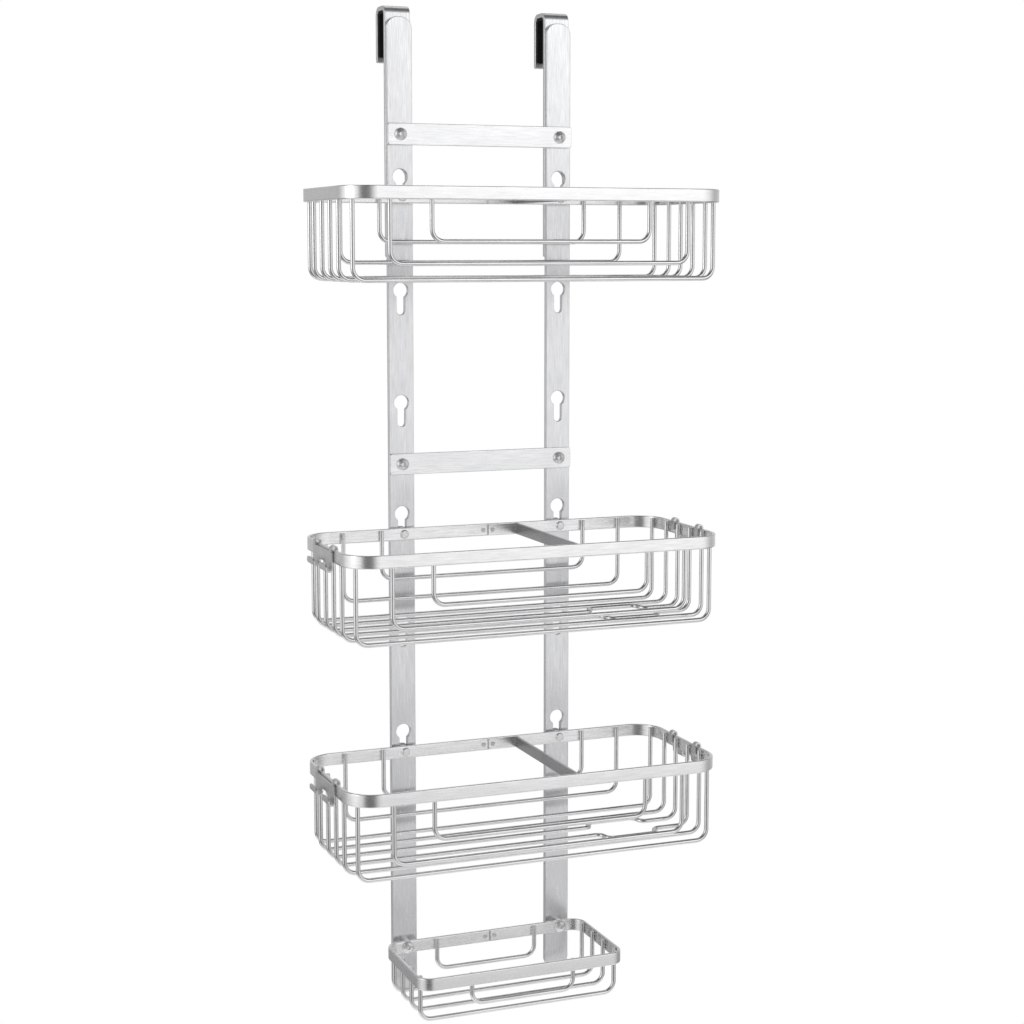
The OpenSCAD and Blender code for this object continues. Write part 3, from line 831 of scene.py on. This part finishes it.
hook_metal = brushed("hook_steel", (0.80, 0.80, 0.80), (0.70, 0.70, 0.705), 0.26, 0.3)
sheet, over_r, curl_r = 1.5 * mm, 1.45 * mm, 3.1 * mm
tab_up, tab_start, lip = 7.2 * mm, 2 * mm, 3 * mm
tab_near, tab_far, tab_foot = 18.7 * mm, 23.7 * mm, 2 * mm
slot, slot_top, sheet_edge = 8 * mm, 9.2 * mm, 0.3 * mm
for basket in ("2", "3"):
    for side, way in (("left", -1), ("right", 1)):
        node = "basket_" + basket + "_side_hook_" + side
        low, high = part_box(node)
        rim_low, rim_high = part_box("basket_" + basket + "_rim")
        middle_y, middle_z = (low.y + high.y) / 2, (rim_low.z + rim_high.z) / 2
        outermost = max(abs(low.x), abs(high.x))
        plate_drop = middle_z + tab_up - tab_start - low.z - curl_r
        # From the tab's free end inside the rim: up, over the rim, down outside it and up again in the prongs
        path, total = bent_path((outermost - 2 * curl_r - 2 * over_r, -tab_start), 90, [
            ("run", tab_up), ("turn", over_r, -180), ("run", plate_drop), ("turn", curl_r, 180),
            ("run", lip)])
        shoulder = tab_up + math.pi * over_r + tab_foot
        crotch = shoulder + slot_top
        half = (high.y - low.y) / 2
        corners = [(0, -tab_far), (shoulder, -tab_far), (shoulder, -half), (total, -half), (total, -slot),
                   (crotch, -slot), (crotch, slot), (total, slot), (total, half), (shoulder, half),
                   (shoulder, tab_far), (0, tab_far), (0, tab_near), (shoulder, tab_near),
                   (shoulder, -tab_near), (0, -tab_near)]
        radii = [1.2, 0.5, 0.6, 2.5, 2.5, 3, 3, 2.5, 2.5, 0.6, 0.5, 1.2, 1.2, 0.8, 0.8, 1.2]
        blank = sheet_blank(round_corners([Vector(c) for c in corners], [r * mm for r in radii], 6), [],
                            sheet, sheet_edge, 2)
        fold(blank, bend_stations(path, 12))

        def over_the_rim(p):
            at, left = on_path(path, p.x)
            at = at + left * p.z
            return Vector((way * at.x, middle_y + p.y, middle_z + at.y))

        set_piece("side_hook." + basket + "." + side, blank, over_the_rim, "side_hook_" + basket + "_" + side,
                  [node], hook_metal)

# ---- Studio ----
# A pale floor lies well below the hanging caddy, in a white surround. Soft lights stand in front to the
# right, on the left and above the rear, and what the metal mirrors of the surround is shaded like a room.

low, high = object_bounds()
floor_z, floor_r = low.z - 1.0, 2.4
mesh = bpy.data.meshes.new("floor")
bm = bmesh.new()
bmesh.ops.create_circle(bm, cap_ends=True, segments=96, radius=floor_r)
for v in bm.verts:
    v.co.z = floor_z
bm.to_mesh(mesh)
bm.free()
floor = bpy.data.objects.new("floor", mesh)
bpy.context.scene.collection.objects.link(floor)
pale = bpy.data.materials.new("floor")
pale.use_nodes = True
tree = pale.node_tree
shader = tree.nodes["Principled BSDF"]
shader.inputs["Base Color"].default_value = (0.90, 0.90, 0.90, 1)
shader.inputs["Roughness"].default_value = 0.7
where = tree.nodes.new("ShaderNodeTexCoord")
far = tree.nodes.new("ShaderNodeVectorMath")
far.operation = "LENGTH"
tree.links.new(where.outputs["Object"], far.inputs[0])
fade = tree.nodes.new("ShaderNodeMapRange")
fade.interpolation_type = "SMOOTHSTEP"
fade.inputs["From Min"].default_value = 2.0
fade.inputs["From Max"].default_value = 2.9
fade.inputs["To Min"].default_value = 1.0
fade.inputs["To Max"].default_value = 0.0
tree.links.new(far.outputs["Value"], fade.inputs["Value"])
tree.links.new(fade.outputs["Result"], shader.inputs["Alpha"])
mesh.materials.append(pale)

world = bpy.data.worlds.new("studio")
bpy.context.scene.world = world
world.use_nodes = True
tree = world.node_tree
tree.nodes.clear()


def sum_of(kind, *values):
    """The result of one sum in the world's shading, from numbers and earlier results."""
    node = tree.nodes.new("ShaderNodeMath")
    node.operation = kind
    for socket, value in zip(node.inputs, values):
        if isinstance(value, (int, float)):
            socket.default_value = value
        else:
            tree.links.new(value, socket)
    return node.outputs[0]


way_out = tree.nodes.new("ShaderNodeTexCoord")
parts = tree.nodes.new("ShaderNodeSeparateXYZ")
tree.links.new(way_out.outputs["Generated"], parts.inputs[0])
# Bearing round the caddy from -0.5 to 0.5, with 0 straight in front and positive to the right
angle = sum_of("ARCTAN2", parts.outputs["X"], sum_of("MULTIPLY", parts.outputs["Y"], -1))
bearing = sum_of("DIVIDE", angle, math.tau)
round_about = tree.nodes.new("ShaderNodeValToRGB")
ramp = round_about.color_ramp
ramp.interpolation = "EASE"
# Brightness all round: 0 and 1 are behind the door, 0.25 is the left, 0.5 the front and 0.75 the right
levels = [(0.00, 0.72), (0.05, 0.44), (0.12, 0.46), (0.19, 0.80), (0.27, 1.15), (0.34, 0.90), (0.39, 0.16),
          (0.46, 0.18), (0.52, 0.85), (0.56, 1.0), (0.63, 0.95), (0.75, 0.45), (0.88, 0.65), (1.00, 0.78)]
while len(ramp.elements) < len(levels):
    ramp.elements.new(0.5)
for element, (place, level) in zip(ramp.elements, levels):
    element.position = place
    element.color = (level, level, level * 1.005, 1)
tree.links.new(sum_of("ADD", bearing, 0.5), round_about.inputs["Fac"])
up_down = tree.nodes.new("ShaderNodeValToRGB")
ramp = up_down.color_ramp
# Brightness from straight down at 0, past the horizon at 0.5, to straight up at 1
levels = [(0.0, 0.30), (0.28, 0.44), (0.345, 0.72), (0.40, 1.06), (0.45, 1.10), (0.56, 0.98), (0.68, 0.92),
          (0.80, 0.36), (0.90, 0.15), (1.0, 0.14)]
while len(ramp.elements) < len(levels):
    ramp.elements.new(0.5)
for element, (place, level) in zip(ramp.elements, levels):
    element.position = place
    element.color = (level, level, level, 1)
tree.links.new(sum_of("ADD", sum_of("MULTIPLY", parts.outputs["Z"], 0.5), 0.5), up_down.inputs["Fac"])
together = tree.nodes.new("ShaderNodeMix")
together.data_type = "RGBA"
together.blend_type = "MULTIPLY"
together.inputs["Factor"].default_value = 1.0
tree.links.new(round_about.outputs["Color"], together.inputs[6])
tree.links.new(up_down.outputs["Color"], together.inputs[7])
light = tree.nodes.new("ShaderNodeBackground")
light.inputs["Strength"].default_value = 1.0
tree.links.new(together.outputs[2], light.inputs["Color"])
plain = tree.nodes.new("ShaderNodeBackground")
plain.inputs["Color"].default_value = (1, 1, 1, 1)
plain.inputs["Strength"].default_value = 1.0
seen = tree.nodes.new("ShaderNodeLightPath")
either = tree.nodes.new("ShaderNodeMixShader")
# The eye and dull surfaces meet the plain white surround, and only what is mirrored meets the shaded one
unmirrored = sum_of("MAXIMUM", seen.outputs["Is Camera Ray"], seen.outputs["Is Diffuse Ray"])
tree.links.new(unmirrored, either.inputs["Fac"])
tree.links.new(light.outputs["Background"], either.inputs[1])
tree.links.new(plain.outputs["Background"], either.inputs[2])
out = tree.nodes.new("ShaderNodeOutputWorld")
tree.links.new(either.outputs["Shader"], out.inputs["Surface"])


def soft_light(name, at, aim, width, height, power):
    """A wide lamp at a place, turned towards another and not itself seen."""
    data = bpy.data.lights.new(name, "AREA")
    data.shape = "RECTANGLE"
    data.size, data.size_y, data.energy = width, height, power
    lamp = bpy.data.objects.new(name, data)
    bpy.context.scene.collection.objects.link(lamp)
    lamp.location = at
    lamp.rotation_mode = "QUATERNION"
    lamp.rotation_quaternion = (Vector(aim) - Vector(at)).to_track_quat("-Z", "Y")
    lamp.visible_camera = False


centre = (low + high) / 2
soft_light("key", (1.3, -2.6, 0.9), centre, 1.6, 1.6, 5)
soft_light("left", (-2.4, -0.3, 0.5), centre, 1.0, 1.6, 7)
soft_light("top", (0.2, 0.9, 1.7), centre, 1.6, 1.2, 5)

view = bpy.context.scene.view_settings
view.view_transform = "Standard"
view.look = "None"

camera = bpy.data.objects.new("camera", bpy.data.cameras.new("camera"))
bpy.context.scene.collection.objects.link(camera)
heading, fall = math.radians(21.693), math.radians(6.463)
ahead = Vector((math.sin(heading) * math.cos(fall), math.cos(heading) * math.cos(fall), -math.sin(fall)))
camera.location = (-0.56517, -1.49852, -0.18289)
camera.rotation_mode = "QUATERNION"
camera.rotation_quaternion = ahead.to_track_quat("-Z", "Y")
camera.data.sensor_width = 36
camera.data.lens = 69.448
camera.data.shift_y = -0.0390625
camera.data.clip_start, camera.data.clip_end = 0.05, 50
bpy.context.scene.camera = camera
